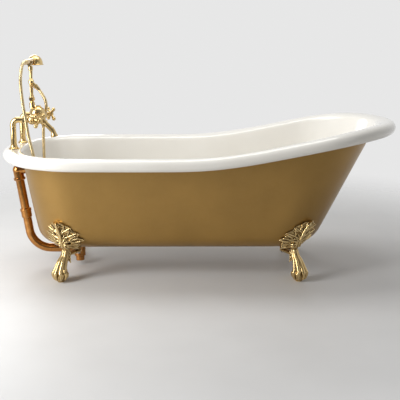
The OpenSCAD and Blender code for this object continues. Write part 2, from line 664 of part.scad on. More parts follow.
// Each valve: local z runs out along the spindle
module at_valve(side) {
    translate([mix_x, side * inlet_pitch / 2, mix_z])
        rotate([0, 90, side * valve_angle]) children();
}
spindle_r = 4.5;
bonnet_at = hub_r - 3;
bonnet_l = 27;
hub_at = bonnet_at + bonnet_l + 3;
bulb_r = 34;
module mixer_body() {
    color("gold") difference() {
        union() {
            translate([mix_x, -inlet_pitch / 2, mix_z]) rotate([-90, 0, 0])
                cylinder(r = 12, h = inlet_pitch, $fn = fine);
            for (side = [-1, 1]) {
                translate([mix_x, side * inlet_pitch / 2, mix_z]) sphere(r = hub_r, $fn = fine);
                translate([mix_x, side * inlet_pitch / 2, mix_z]) rotate([0, -90, 0]) cylinder(r = riser_r, h = spigot, $fn = fine);
                translate([mix_x, side * 36, mix_z]) rotate([90, 0, 0]) translate([0, 0, -3]) cylinder(r = 15, h = 6, $fn = fine);
            }
            translate([mix_x + 6, 0, mix_z - 12]) turned([[0, 0], [16, 0], [22, 3], [18, 7], [29, 16],
                [bulb_r, 28], [bulb_r, 36], [29, 48], [20, 56], [15, 60], [15, 64], [0, 64]]);
            translate([col_x, 0, mix_z + 40]) cylinder(r = 12, h = 20, $fn = fine);
            at_spout() translate([0, 0, -12]) cylinder(r = 13, h = 22, $fn = fine);
        }
        for (side = [-1, 1]) {
            at_valve(side) translate([0, 0, 4]) cylinder(r = spindle_r + run, h = hub_r, $fn = fine);
            at_valve(side) translate([0, 0, bonnet_at]) cylinder(r = 19, h = 20, $fn = fine);
            translate([mix_x - spigot - 1, side * inlet_pitch / 2, mix_z]) rotate([0, 90, 0]) cylinder(r = bore_r, h = 20, $fn = fine);
        }
        translate([col_x, 0, mix_z + 48]) cylinder(r = 6 + slip, h = 20, $fn = fine);
        at_spout() translate([0, 0, -2]) cylinder(r = 8 + slip, h = 14, $fn = fine);
    }
}
module bonnet(side) {
    color("gold") at_valve(side) translate([0, 0, bonnet_at + seat]) difference() {
        turned([[0, 0], [18, 0], [18, 4], [15, 6], [16, 9], [12, 14], [9, 20], [10.5, 23], [9, bonnet_l], [0, bonnet_l]]);
        translate([0, 0, -1]) cylinder(r = spindle_r + run, h = bonnet_l + 2, $fn = fine);
    }
}
module spindle(side) {
    color("goldenrod") at_valve(side) translate([0, 0, 5]) cylinder(r = spindle_r, h = hub_at + 9, $fn = fine);
}
// Cross handle with a ball on each of its four arms
lobe_r = 8.5;
module cross_handle(side) {
    color("gold") at_valve(side) translate([0, 0, hub_at]) difference() {
        union() {
            turned([[0, 0], [8, 0], [11, 4], [12, 8], [11, 14], [9.5, 16], [0, 16]]);
            for (a = [45:90:315]) rotate([0, 0, a]) translate([6, 0, 9]) rotate([0, 90, 0])
                turned(concat([[0, 0], [5.6, 0], [4.6, cross_r - 24], [7, cross_r - 23], [7, cross_r - 20.5]],
                    [for (b = [-40:10:90]) [lobe_r * cos(b), cross_r - 6 - lobe_r + lobe_r * sin(b)]]));
        }
        translate([0, 0, -1]) cylinder(r = spindle_r + slip, h = 16, $fn = fine);
    }
}
module index_button(side) {
    color("ivory") at_valve(side) translate([0, 0, hub_at + 16 + slip])
        turned([[0, 0], [8, 0], [8, 1.5], [5.5, 3.2], [0, 4]]);
}
// The spout leaves the bulb downwards and towards the basin
spout_angle = 135;
module at_spout() {
    translate([mix_x + 18, 0, mix_z - 6]) rotate([0, spout_angle, 0]) translate([0, 0, 14]) children();
}
spout_r = 11;
spout_bore = 6.5;
spout_bend = 30;
module spout_curve(r) {
    translate([spout_bend, 0, spout_l]) rotate([90, 0, 0]) rotate([0, 0, 180 - spout_turn])
        rotate_extrude(angle = spout_turn, $fn = fine) translate([spout_bend, 0]) circle(r = r, $fn = fine);
}
module at_spout_end() {
    translate([spout_bend, 0, spout_l]) rotate([0, spout_turn, 0]) translate([-spout_bend, 0, 0]) children();
}
module spout() {
    color("gold") at_spout() difference() {
        union() {
            turned([[0, 0], [8, 0], [8, 10 + seat], [15, 10 + seat], [15, 14], [spout_r, 17], [spout_r, spout_l - 4],
                [spout_r + 1.5, spout_l - 3], [spout_r + 1.5, spout_l + 1], [0, spout_l + 1]]);
            spout_curve(spout_r);
            at_spout_end() translate([0, 0, -1]) turned([[0, 0], [spout_r + 1, 0], [spout_r + 1, 4], [spout_r + 5, 13], [spout_r + 5, 17], [0, 17]]);
        }
        translate([0, 0, -1]) cylinder(r = spout_bore, h = spout_l + 2, $fn = fine);
        spout_curve(spout_bore - 0.5);
        at_spout_end() turned([[0, -0.5], [spout_bore, -0.5], [spout_bore, 8], [spout_r + 3, 16], [spout_r + 3, 17], [0, 17]]);
    }
}
spout_turn = 35;

// Turned column, hose outlet, diverter lever and cradle
col_x = mix_x - 15;
col_foot = mix_z + 60;
col_top = mix_z + column_h;
outlet_z = mix_z + outlet_h;
outlet_tilt = 135;
outlet_l = 22;
module at_outlet() {
    translate([col_x, 0, outlet_z]) rotate([0, outlet_tilt, 0]) children();
}
lever_z = mix_z + 80;
outlet_at = outlet_z - col_foot;
top_at = col_top - col_foot - seat;
module column() {
    color("gold") translate([col_x, 0, col_foot]) difference() {
        union() {
            translate([0, 0, -11]) cylinder(r = 6, h = 12, $fn = fine);
            translate([0, 0, seat]) turned([[0, 0], [13, 0], [13, 3], [8, 6], [8, 9], [12, 14], [13.5, 20], [12, 26],
                [8, 31], [9.5, 33], [9.5, 35], [7, 38], [7.5, outlet_at - 32], [6.5, outlet_at - 14], [9, outlet_at - 11],
                [9, outlet_at - 9], [12, outlet_at - 6], [12, outlet_at + 6], [9, outlet_at + 9], [9, outlet_at + 11],
                [6.5, outlet_at + 14], [7.5, top_at - 29], [8, top_at - 14], [10, top_at - 11], [10, top_at], [0, top_at]]);
            translate([0, 0, lever_z - col_foot]) rotate([90, 0, 0]) cylinder(r = 8, h = 15, $fn = fine);
            translate([0, 0, outlet_at]) rotate([0, outlet_tilt, 0]) cylinder(r = 8, h = outlet_l, $fn = fine);
        }
        translate([0, 0, lever_z - col_foot]) rotate([90, 0, 0]) translate([0, 0, 5]) cylinder(r = 3 + run, h = 15, $fn = fine);
        translate([0, 0, col_top - col_foot - 12]) cylinder(r = 4 + slip, h = 20, $fn = fine);
    }
}
lever_l = 62;
module diverter_lever() {
    color("gold") translate([col_x, -15 - seat, lever_z]) rotate([90, 0, 0]) {
        translate([0, 0, -9]) cylinder(r = 3, h = 10, $fn = fine);
        cylinder(r = 7.5, h = 8, $fn = fine);
        translate([0, 0, 4]) rotate([-90, 0, 0]) {
            cylinder(r1 = 3.6, r2 = 2.6, h = lever_l - 5, $fn = fine);
            translate([0, 0, lever_l - 5]) sphere(r = 5, $fn = fine);
        }
    }
}
handset_z = col_top + 27;
handle_r = 10;
prong_y = 24;
module cradle() {
    color("gold") translate([col_x, 0, 0]) {
        translate([0, 0, col_top - 10]) cylinder(r = 4, h = 12, $fn = fine);
        translate([0, 0, col_top + slip]) cylinder(r = 10, h = 4, $fn = fine);
        difference() {
            union() {
                translate([0, 0, col_top + 3]) cylinder(r = 6, h = 8, $fn = fine);
                translate([0, -prong_y - 4, handset_z - handle_r - 7]) rotate([-90, 0, 0]) cylinder(r = 6, h = 2 * prong_y + 8, $fn = fine);
                for (side = [-1, 1]) translate([0, side * prong_y - 4, handset_z]) rotate([-90, 0, 0]) cylinder(r = handle_r + 6, h = 8, $fn = fine);
            }
            translate([0, -60, handset_z]) rotate([-90, 0, 0]) cylinder(r = handle_r + seat, h = 120, $fn = fine);
            translate([-30, -60, handset_z]) cube([60, 120, 40]);
        }
        for (side = [-1, 1], edge = [-1, 1])
            translate([edge * (handle_r + 3.2), side * prong_y, handset_z + 1]) sphere(r = 2.8, $fn = fine);
    }
}

// Hand shower: local y runs from the hose to the spray head
head_r = head_d / 2;
handle_end = -handle_l / 2 - 5;
head_y = handle_end + handle_l + 10;
module at_handset() {
    translate([col_x, 0, handset_z]) children();
}
module handset_handle() {
    color("gold") at_handset() translate([0, handle_end, 0]) rotate([-90, 0, 0]) {
        turned([[0, 0], [8, 0], [8, 6], [10, 9], [10, 12], [7.5, 15], [7.5, 17], [handle_r - 0.6, 26], [handle_r - 0.6, 48],
            [handle_r, 50], [handle_r, handle_l - 58], [handle_r - 0.6, handle_l - 56], [8, handle_l - 44],
            [8, handle_l - 42], [10, handle_l - 40], [10, handle_l - 37], [7.5, handle_l - 34], [7.5, handle_l - 22], [0, handle_l - 22]]);
    }
}
module handset_bell() {
    color("gold") at_handset() difference() {
        union() {
            translate([0, head_y, -head_depth]) turned([[0, 0], [head_r, 0], [head_r, 3], [head_r - 3, 5], [head_r - 3.5, 14],
                [head_r - 6.5, 23], [head_r - 11, 30], [head_r - 17, 36], [head_r - 25, 40.5], [head_r - 32, 43], [0, 44]]);
            translate([0, handle_end + handle_l - 34 + seat, 0]) rotate([-90, 0, 0]) cylinder(r = 10.5, h = 24, $fn = fine);
        }
        translate([0, handle_end + handle_l - 36, 0]) rotate([-90, 0, 0]) cylinder(r = 7.5 + slip, h = 15, $fn = fine);
        translate([0, head_y, -head_depth - 1]) cylinder(r = head_r - 4, h = 6, $fn = fine);
    }
}
head_depth = 22;
module spray_face() {
    color("silver") at_handset() translate([0, head_y, -head_depth + 0.6]) difference() {
        cylinder(r = head_r - 4 - slip, h = 4, $fn = fine);
        for (ring = [1:3], i = [0:6 * ring - 1])
            rotate([0, 0, 60 * i / ring]) translate([ring * (head_r - 8) / 3.4, 0, -1]) cylinder(r = 1.2, h = 6, $fn = 16);
    }
}
nut_l = 24;
module handset_nut() {
    color("gold") at_handset() translate([0, handle_end - slip, 0]) rotate([90, 0, 0])
        turned([[0, 0], [10.5, 0], [10.5, 8], [9, 10], [hose_d / 2 + 0.5, nut_l], [0, nut_l]]);
}
module outlet_nut() {
    color("gold") at_outlet() translate([0, 0, outlet_l + slip])
        turned([[0, 0], [10.5, 0], [10.5, 8], [9, 10], [hose_d / 2 + 0.5, nut_l], [0, nut_l]]);
}

tub_shell();
enamel_lining();
foot(true, false);  // foot_tap_near
foot(true, true);  // foot_tap_far
foot(false, false);  // foot_head_near
foot(false, true);  // foot_head_far
foot_washers();
foot_bolts();
overflow_plate();
overflow_screws();
overflow_gasket();
overflow_elbow();
overflow_nut();
overflow_tube();
slip_nut();
overflow_bend();
inlet_nut();
waste_tee();
waste_gasket();
waste_flange();
waste_plug();
tailpiece();
tailpiece_nut();
riser(hot);  // riser_hot
riser(cold);  // riser_cold
riser_flange(hot);  // riser_flange_hot
riser_flange(cold);  // riser_flange_cold
deck_washer(hot);  // deck_washer_hot
deck_washer(cold);  // deck_washer_cold
shank_nut(hot);  // shank_nut_hot
shank_nut(cold);  // shank_nut_cold
union_nut(hot);  // union_nut_hot
union_nut(cold);  // union_nut_cold
mixer_body();
bonnet(hot);  // bonnet_hot
bonnet(cold);  // bonnet_cold
spindle(hot);  // spindle_hot
spindle(cold);  // spindle_cold
cross_handle(hot);  // handle_hot
cross_handle(cold);  // handle_cold
index_button(hot);  // index_hot
index_button(cold);  // index_cold
spout();
column();
diverter_lever();
cradle();
outlet_nut();
hose();
handset_nut();
handset_handle();
handset_bell();
spray_face();
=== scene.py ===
import json
import math
import bpy
from mathutils import Matrix, Vector
from mathutils.bvhtree import BVHTree

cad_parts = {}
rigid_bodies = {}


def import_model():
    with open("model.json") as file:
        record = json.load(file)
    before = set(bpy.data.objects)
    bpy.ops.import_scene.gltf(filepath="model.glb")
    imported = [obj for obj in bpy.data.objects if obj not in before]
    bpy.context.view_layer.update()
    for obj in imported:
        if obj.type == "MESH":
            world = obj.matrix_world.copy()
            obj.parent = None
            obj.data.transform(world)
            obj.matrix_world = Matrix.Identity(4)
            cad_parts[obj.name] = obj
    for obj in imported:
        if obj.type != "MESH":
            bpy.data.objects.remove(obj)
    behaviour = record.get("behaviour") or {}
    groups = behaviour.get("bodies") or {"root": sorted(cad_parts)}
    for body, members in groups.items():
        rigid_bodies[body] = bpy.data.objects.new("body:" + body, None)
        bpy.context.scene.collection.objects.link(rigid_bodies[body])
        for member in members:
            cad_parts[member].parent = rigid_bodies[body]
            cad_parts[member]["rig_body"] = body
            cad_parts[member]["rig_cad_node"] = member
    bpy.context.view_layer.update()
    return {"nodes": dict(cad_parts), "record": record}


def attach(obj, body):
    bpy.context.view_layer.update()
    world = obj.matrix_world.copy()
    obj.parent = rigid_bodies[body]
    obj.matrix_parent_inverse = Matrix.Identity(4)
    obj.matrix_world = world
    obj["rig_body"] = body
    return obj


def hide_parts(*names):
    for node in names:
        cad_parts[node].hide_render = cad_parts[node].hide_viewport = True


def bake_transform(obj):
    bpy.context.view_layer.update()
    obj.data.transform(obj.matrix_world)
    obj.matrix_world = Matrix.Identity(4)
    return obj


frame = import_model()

MM = 0.001

# Camera, at the photograph's angle

eye = bpy.data.cameras.new("camera")
eye.lens = 72
eye.sensor_width = 36
looks_down = 12.9
camera = bpy.data.objects.new("camera", eye)
camera.location = (0.006, -3.466, 1.089)
camera.rotation_euler = (math.radians(90 - looks_down), 0, 0)
bpy.context.scene.collection.objects.link(camera)
bpy.context.scene.camera = camera


# Modelling helpers


def select_none():
    if bpy.context.object and bpy.context.object.mode != "OBJECT":
        bpy.ops.object.mode_set(mode="OBJECT")
    bpy.ops.object.select_all(action="DESELECT")


def pick(*pieces):
    """Only these are selected, and the last one is active."""
    select_none()
    for piece in pieces:
        piece.select_set(True)
    bpy.context.view_layer.objects.active = pieces[-1]
    return pieces[-1]


def added(name):
    """The primitive that was just added, under its name."""
    piece = bpy.context.object
    piece.name = name
    piece.data.name = name
    return piece


def put_in_scene(name, data):
    piece = bpy.data.objects.new(name, data)
    bpy.context.scene.collection.objects.link(piece)
    return piece


def twin(piece, name):
    """A copy of a piece with a mesh of its own."""
    other = piece.copy()
    other.data = piece.data.copy()
    other.name = name
    bpy.context.scene.collection.objects.link(other)
    return other


def apply_place(piece):
    pick(piece)
    bpy.ops.object.transform_apply(location=True, rotation=True, scale=True)
    return piece


def reshape(piece, operator, **settings):
    """Runs an edit mode operator on the whole of a piece."""
    pick(piece)
    bpy.ops.object.mode_set(mode="EDIT")
    bpy.ops.mesh.select_all(action="SELECT")
    operator(**settings)
    bpy.ops.mesh.select_all(action="DESELECT")
    bpy.ops.object.mode_set(mode="OBJECT")
    return piece


def modify(piece, kind, **settings):
    """Adds a modifier with these settings and applies it."""
    pick(piece)
    modifier = piece.modifiers.new(kind.lower(), kind)
    for key, value in settings.items():
        setattr(modifier, key, value)
    bpy.ops.object.modifier_apply(modifier=modifier.name)
    return piece


def smooth(piece, angle):
    pick(piece)
    bpy.ops.object.shade_smooth_by_angle(angle=math.radians(angle))
    return piece


def wear(piece, finish):
    piece.data.materials.clear()
    piece.data.materials.append(finish.material)
    return piece


def cad_copy(node, name):
    """A node's own shape as a new piece, its loose triangles merged into whole faces."""
    piece = twin(frame["nodes"][node], name)
    piece.parent = None
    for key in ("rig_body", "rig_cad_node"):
        if key in piece:
            del piece[key]
    return reshape(piece, bpy.ops.mesh.remove_doubles, threshold=0.00002)


def body_of_node(node):
    for body, members in frame["record"]["behaviour"]["bodies"].items():
        if node in members:
            return body


def slot_of_node(node):
    for part in frame["record"]["subparts"]:
        if part["node"] == node:
            return part["material_slot"]


def fit(piece, node):
    """The piece stands for this node and rides with it."""
    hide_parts(node)
    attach(piece, body_of_node(node))
    return piece


# Finishes


class Socket:
    """A number from one of a finish's nodes, so that shader maths reads as plain sums."""

    def __init__(self, finish, out):
        self.finish = finish
        self.out = out

    def sum(self, operation, a, b):
        return self.finish.node("Math", {"operation": operation}, [a, b])[0]

    def __add__(self, other):
        return self.sum("ADD", self, other)

    def __radd__(self, other):
        return self.sum("ADD", other, self)

    def __mul__(self, other):
        return self.sum("MULTIPLY", self, other)

    def __rmul__(self, other):
        return self.sum("MULTIPLY", other, self)


class Finish:
    """One surface finish: a Principled shader, its constants, and the nodes that vary it."""

    def __init__(self, name, **constants):
        self.material = bpy.data.materials.new(name)
        self.material.use_nodes = True
        self.tree = self.material.node_tree
        self.shader = self.tree.nodes["Principled BSDF"]
        for socket, value in constants.items():
            self.shader.inputs[socket.replace("_", " ")].default_value = value
        self.place = self.node("TexCoord")[3]

    def node(self, kind, settings={}, values=()):
        """Adds a node: its settings first, then its sockets by order or by name. Gives its outputs."""
        node = self.tree.nodes.new("ShaderNode" + kind)
        for key, value in settings.items():
            if key == "stops":
                for n, (at, colour) in enumerate(value):
                    stop = node.color_ramp.elements[n] if n < 2 else node.color_ramp.elements.new(at)
                    stop.position = at
                    stop.color = colour
            else:
                setattr(node, key, value)
        pairs = values.items() if isinstance(values, dict) else enumerate(values)
        for key, value in pairs:
            if isinstance(value, Socket):
                self.tree.links.new(value.out, node.inputs[key])
            else:
                node.inputs[key].default_value = value
        return [Socket(self, out) for out in node.outputs]

    def ramp(self, factor, *stops):
        return self.node("ValToRGB", {"stops": stops}, [factor])[0]

    def between(self, factor, low, high, since=0.0, until=1.0):
        """A number that goes from low to high as factor goes from since to until."""
        return self.node("MapRange", {}, [factor, since, until, low, high])[0]

    def noise(self, scale, detail, roughness=0.5):
        values = {"Vector": self.place, "Scale": scale, "Detail": detail, "Roughness": roughness}
        return self.node("TexNoise", {}, values)[0]

    def mixed(self, factor, a, b):
        return self.node("Mix", {"data_type": "RGBA"}, {0: factor, 6: a, 7: b})[2]

    def bump(self, height, strength, distance):
        return self.node("Bump", {}, {"Strength": strength, "Distance": distance, "Height": height})[0]

    def set(self, **sockets):
        for socket, value in sockets.items():
            self.tree.links.new(value.out, self.shader.inputs[socket.replace("_", " ")])
        return self


def rgb(r, g, b):
    return (r, g, b, 1.0)


gold_paint = Finish("gold_paint", Metallic=0.7, Coat_Weight=0.25, Coat_Roughness=0.22)
flake = gold_paint.noise(1500.0, 1.0, 0.6)
sparkle = gold_paint.between(flake, 0.0, 0.7, 0.5, 0.72)
patch = gold_paint.noise(5.0, 4.0, 0.55)
gold_paint.set(
    Base_Color=gold_paint.mixed(
        sparkle,
        gold_paint.ramp(patch, (0.3, rgb(0.30, 0.165, 0.036)), (0.7, rgb(0.37, 0.207, 0.047))),
        rgb(0.62, 0.42, 0.14),
    ),
    Roughness=gold_paint.between(sparkle, 0.40, 0.28),
    Normal=gold_paint.bump(flake + patch * 8.0, 0.12, 0.0003),
)

enamel = Finish("white_enamel", Specular_IOR_Level=0.55, Coat_Weight=0.5, Coat_Roughness=0.04)
cloud = enamel.noise(6.0, 2.0)
enamel.set(
    Base_Color=enamel.ramp(cloud, (0.3, rgb(0.85, 0.82, 0.755)), (0.7, rgb(0.88, 0.855, 0.795))),
    Roughness=enamel.between(enamel.noise(40.0, 2.0), 0.10, 0.16),
    Normal=enamel.bump(enamel.noise(9.0, 1.0), 0.05, 0.002),
)


def metal(name, dark, light, rough):
    """Polished metal with faint clouding in its colour and fine wiping marks in its gloss."""
    finish = Finish(name, Metallic=1.0)
    cloudy = finish.noise(60.0, 3.0)
    wiping = finish.noise(540.0, 2.0)
    finish.set(
        Base_Color=finish.ramp(cloudy, (0.3, dark), (0.7, light)),
        Roughness=finish.between(wiping, rough * 0.75, rough * 1.3),
        Normal=finish.bump(cloudy, 0.04, 0.0006),
    )
    return finish


bright_gold = metal("bright_gold", rgb(0.60, 0.42, 0.175), rgb(0.76, 0.57, 0.28), 0.09)

# Cast feet: lighter on the high places as a painted highlight, and near black in the hollows as painted shade
cast_gold = Finish("cast_gold", Metallic=1.0)
# Depth below the surroundings: it paints shade into the hollows and a highlight onto the high places, and makes the
# hollows rougher
hollow = cast_gold.node("Attribute", {"attribute_name": "hollow"})[2]
pitting = cast_gold.noise(260.0, 3.0)
cast_gold.set(
    Base_Color=cast_gold.mixed(
        cast_gold.between(pitting, 0.0, 0.3),
        cast_gold.ramp(
            hollow,
            (0.2, rgb(0.80, 0.62, 0.33)),
            (0.46, rgb(0.64, 0.45, 0.19)),
            (0.56, rgb(0.34, 0.21, 0.07)),
            (0.75, rgb(0.07, 0.04, 0.015)),
        ),
        rgb(0.60, 0.44, 0.2),
    ),
    Roughness=cast_gold.between(hollow, 0.10, 0.38),
    Normal=cast_gold.bump(pitting, 0.08, 0.0005),
)
hose_gold = metal("hose_gold", rgb(0.60, 0.46, 0.24), rgb(0.74, 0.60, 0.36), 0.20)
copper_tube = metal("copper_tube", rgb(0.43, 0.18, 0.045), rgb(0.58, 0.28, 0.09), 0.12)
zinc = metal("zinc_plate", rgb(0.50, 0.50, 0.52), rgb(0.62, 0.62, 0.64), 0.3)

rubber = Finish("black_rubber", Specular_IOR_Level=0.3)
grit = rubber.noise(400.0, 3.0)
rubber.set(
    Base_Color=rubber.ramp(grit, (0.3, rgb(0.018, 0.018, 0.018)), (0.7, rgb(0.035, 0.035, 0.035))),
    Roughness=rubber.between(grit, 0.6, 0.8),
    Normal=rubber.bump(grit, 0.2, 0.0002),
)

# Hand shower hose, the same route as the solid's, in metres

hose_route = [
    (-0.720, -0.1242, 0.905), (-0.720, -0.142, 0.902), (-0.720, -0.172, 0.889), (-0.720, -0.193, 0.866),
    (-0.721, -0.202, 0.837), (-0.721, -0.199, 0.797), (-0.721, -0.177, 0.735), (-0.718, -0.155, 0.670),
    (-0.714, -0.137, 0.605), (-0.706, -0.118, 0.540), (-0.699, -0.103, 0.490), (-0.692, -0.091, 0.430),
    (-0.687, -0.082, 0.375), (-0.684, -0.079, 0.328), (-0.682, -0.065, 0.293), (-0.681, -0.039, 0.271),
    (-0.681, -0.008, 0.264), (-0.683, 0.025, 0.272), (-0.685, 0.050, 0.295), (-0.687, 0.063, 0.330),
    (-0.689, 0.062, 0.380), (-0.690, 0.059, 0.450), (-0.689, 0.057, 0.530), (-0.687, 0.055, 0.600),
    (-0.682, 0.052, 0.645), (-0.675, 0.045, 0.671), (-0.668, 0.035, 0.692), (-0.664, 0.023, 0.714),
    (-0.665, 0.012, 0.736), (-0.673, 0.005, 0.758), (-0.6872, 0.000, 0.7832),
]
hose_d = 0.014
rib_pitch = 0.0042
rib_depth = 0.0011


def along(points, steps):
    """Points on the smooth curve through these points, as the solid's own curve runs."""
    line = []
    last = len(points) - 1
    for i in range(last):
        a, b, c, d = (Vector(points[max(0, min(last, k))]) for k in (i - 1, i, i + 1, i + 2))
        for k in range(steps):
            t = k / steps
            square = (2 * a - 5 * b + 4 * c - d) * t * t
            cube = (3 * b - a - 3 * c + d) * t * t * t
            line.append(0.5 * (2 * b + (c - a) * t + square + cube))
    return line + [Vector(points[-1])]


def length_of(line):
    return sum((b - a).length for a, b in zip(line, line[1:]))


hose_line = along(hose_route, 12)
hose_length = length_of(hose_line)


def poly_curve(name, line):
    """A curve of straight steps through these points. Gives the curve and its spline."""
    curve = bpy.data.curves.new(name, "CURVE")
    curve.dimensions = "3D"
    spline = curve.splines.new("POLY")
    spline.points.add(len(line) - 1)
    for point, place in zip(spline.points, line):
        point.co = (*place, 1.0)
    return curve, spline


def make_hose():
    """One round rib of the metal hose, repeated along the whole route."""
    count = round(hose_length / rib_pitch)
    pitch = hose_length / count
    root = hose_d / 2 - rib_depth
    select_none()
    bpy.ops.mesh.primitive_cylinder_add(
        vertices=16, radius=root, depth=pitch, end_fill_type="NOTHING",
        location=(pitch / 2, 0, 0), rotation=(0, math.pi / 2, 0),
    )
    rib = apply_place(added("hose_ribs"))
    reshape(rib, bpy.ops.mesh.subdivide, number_cuts=3)
    for vertex in rib.data.vertices:
        x = vertex.co.x
        crown = math.sin(math.pi * x / pitch) ** 0.6 if 0 < x < pitch else 0
        out = Vector((0, vertex.co.y, vertex.co.z)).normalized()
        vertex.co = Vector((x, 0, 0)) + out * (root + rib_depth * crown)
    modify(
        rib, "ARRAY", count=count, use_relative_offset=False, use_constant_offset=True,
        constant_offset_displace=(pitch, 0, 0), use_merge_vertices=True, merge_threshold=0.0001,
    )
    curve, _ = poly_curve("hose_wire", hose_line)
    curve.twist_mode = "MINIMUM"
    route = put_in_scene("hose_wire", curve)
    modify(rib, "CURVE", object=route, deform_axis="POS_X")
    bpy.data.objects.remove(route)
    smooth(wear(rib, hose_gold), 60)
    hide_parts("hose")
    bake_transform(rib)


make_hose()
done = {"hose"}


# Tub


def make_tub(node, name, finish):
    """The iron or its enamel, its facets rounded out by subdivision."""
    tub = cad_copy(node, name)
    reshape(
        tub, bpy.ops.mesh.tris_convert_to_quads,
        face_threshold=math.radians(50), shape_threshold=math.radians(60),
    )
    modify(tub, "SUBSURF", levels=2, render_levels=2)
    smooth(wear(tub, finish), 60)
    fit(tub, node)
    done.add(node)


make_tub("tub_shell", "iron_tub", gold_paint)
make_tub("enamel_lining", "enamel_coat", enamel)


# Claw and ball feet: the solid's foot with carved strokes laid on it, melted into one casting

# The foot's place on the floor, and the way it points out
FOOT_SPOTS = {
    "tap": ((-0.556293, -0.214354, 0.0), (-0.544639, -0.838671)),
    "head": ((0.401238, -0.201653, 0.0), (0.529919, -0.848048)),
}
# The leaf's own plane on the tub's wall: its middle, the way across it, and how its middle line leans with height
LEAF_SPOTS = {
    "tap": ((-0.57215, -0.22271, 0.0), (0.9416, -0.3367), (0.0081, -0.009, -0.014)),
    "head": ((0.42605, -0.20689, 0.0), (-0.8705, -0.4922), (0.0175, -0.020, -0.029)),
}
# In millimetres: the leaf's foot, top and half width, how far strokes past the leaf's edge stand off the wall,
# the ball's distance out along the foot, and its radius
LEAF_LOW, LEAF_TOP, LEAF_HALF, WALL_GAP = 138.0, 252.0, 75.0, 3.0
KICK, BALL = 44, 26
# The share of a stroke's length at which it is thickest
SWELL = 0.6
# In metres: how far outside the leaf its rays start, and how finely the strokes melt together
RAY_START, MELT = 0.25, 0.0014


def foot_frame(end):
    """Local x runs out from the bath, y along the wall and z up, from the foot's place on the floor."""
    (x, y, z), (c, s) = FOOT_SPOTS[end]
    return Matrix(((c, -s, 0, x), (s, c, 0, y), (0, 0, 1, z), (0, 0, 0, 1)))


def clay(name, points, radii, roundness=2):
    """A rounded tapering stroke through these points, closed at both ends."""
    steps = 4
    curve, spline = poly_curve(name, along(points, steps))
    curve.bevel_depth = 1.0
    curve.bevel_resolution = roundness
    curve.use_fill_caps = True
    for n, point in enumerate(spline.points):
        at = n / steps
        low = min(int(at), len(radii) - 2)
        point.radius = radii[low] + (radii[low + 1] - radii[low]) * (at - low)
    pick(put_in_scene(name, curve))
    bpy.ops.object.convert(target="MESH")
    return bpy.context.object


def foot_clay(place, name, points, radii, roundness=2):
    """A stroke in the foot's own frame, in millimetres."""
    stroke = clay(name, [p * MM for p in points], [r * MM for r in radii], roundness)
    stroke.data.transform(place)
    return stroke


def tapered(count, start, thick, end):
    """Radii that swell from start to thick and close to end. These are millimetres, and the radii metres."""
    radii = []
    for n in range(count):
        t = n / (count - 1)
        if t < SWELL:
            radius = start + (thick - start) * math.sin(math.pi * (t / SWELL) / 2)
        else:
            radius = thick + (end - thick) * ((t - SWELL) / (1 - SWELL)) ** 1.5
        radii.append(radius * MM)
    return radii


def leaf_half(t):
    """Half width of the leaf at a share of its height, the same lobed outline as the solid's."""
    wide = 0.32
    share = 0.55 + 0.45 * math.sin(math.pi / 2 * min(1, t / wide)) ** 1.2
    if t > wide:
        share *= math.cos(math.radians(77 * (t - wide) / (1 - wide))) ** 0.8
    return LEAF_HALF * share * (1 + 0.13 * math.cos(2 * math.pi * (t * 4 - 0.35)))


def on_outline(side, t):
    return side * leaf_half(max(0, min(1, t))), LEAF_LOW + t * (LEAF_TOP - LEAF_LOW)


def leaf_fingers():
    """Acanthus fingers of one half: points across and up, then start, thick and end radius, lift and curl, in mm."""
    fingers = []
    # Each lobe fans out of the midrib: its root on the midrib, and the share of the height at its tip
    for lobe, (root, tip) in enumerate(((0.06, 0.03), (0.10, 0.20), (0.20, 0.42), (0.36, 0.62), (0.56, 0.83))):
        size = 1.0 - 0.07 * lobe
        x0, z0 = on_outline(0.05, root)
        end_x, end_z = on_outline(1.02 if lobe else 0.98, tip)
        # A lower finger, the middle one and an upper one, each with its bow upwards
        for spread, start, reach, bow in ((-0.085, 0.34, 0.90, -3.0), (0.0, 0.0, 1.0, 1.5), (0.085, 0.34, 0.90, 5.0)):
            xa, za = x0 + start * (end_x - x0), z0 + start * (end_z - z0)
            xb, zb = on_outline(reach, tip + spread)
            xm, zm = 0.55 * xb + 0.45 * xa, 0.55 * zb + 0.45 * za + bow
            line = [(xa, za), ((xa + xm) / 2, (za + zm) / 2 + bow * 0.4), (xm, zm), (xb, zb)]
            fingers.append((line, 2.6, 5.0 * size, 3.1 * size, 1.4, 3.0))
        # Small fingers between the lobes, close to the midrib
        fingers.append(([(x0, z0 + 5), (x0 + 7, z0 + 12), (x0 + 13, z0 + 22)], 2.0, 3.2, 2.0, 1.6, 1.0))
    return fingers


def scroll(x, z, r, turns, start):
    """A volute in the wall's plane, wound inwards."""
    count = int(turns * 10)
    line = []
    for n in range(count + 1):
        angle = start + 2 * math.pi * turns * n / count
        close = r * (1 - 0.8 * n / count)
        line.append((x + close * math.cos(angle), z + close * math.sin(angle)))
    return line


def tree_of(piece):
    """A piece's surface, for rays to meet."""
    mesh = piece.data
    return BVHTree.FromPolygons([v.co for v in mesh.vertices], [tuple(p.vertices) for p in mesh.polygons])


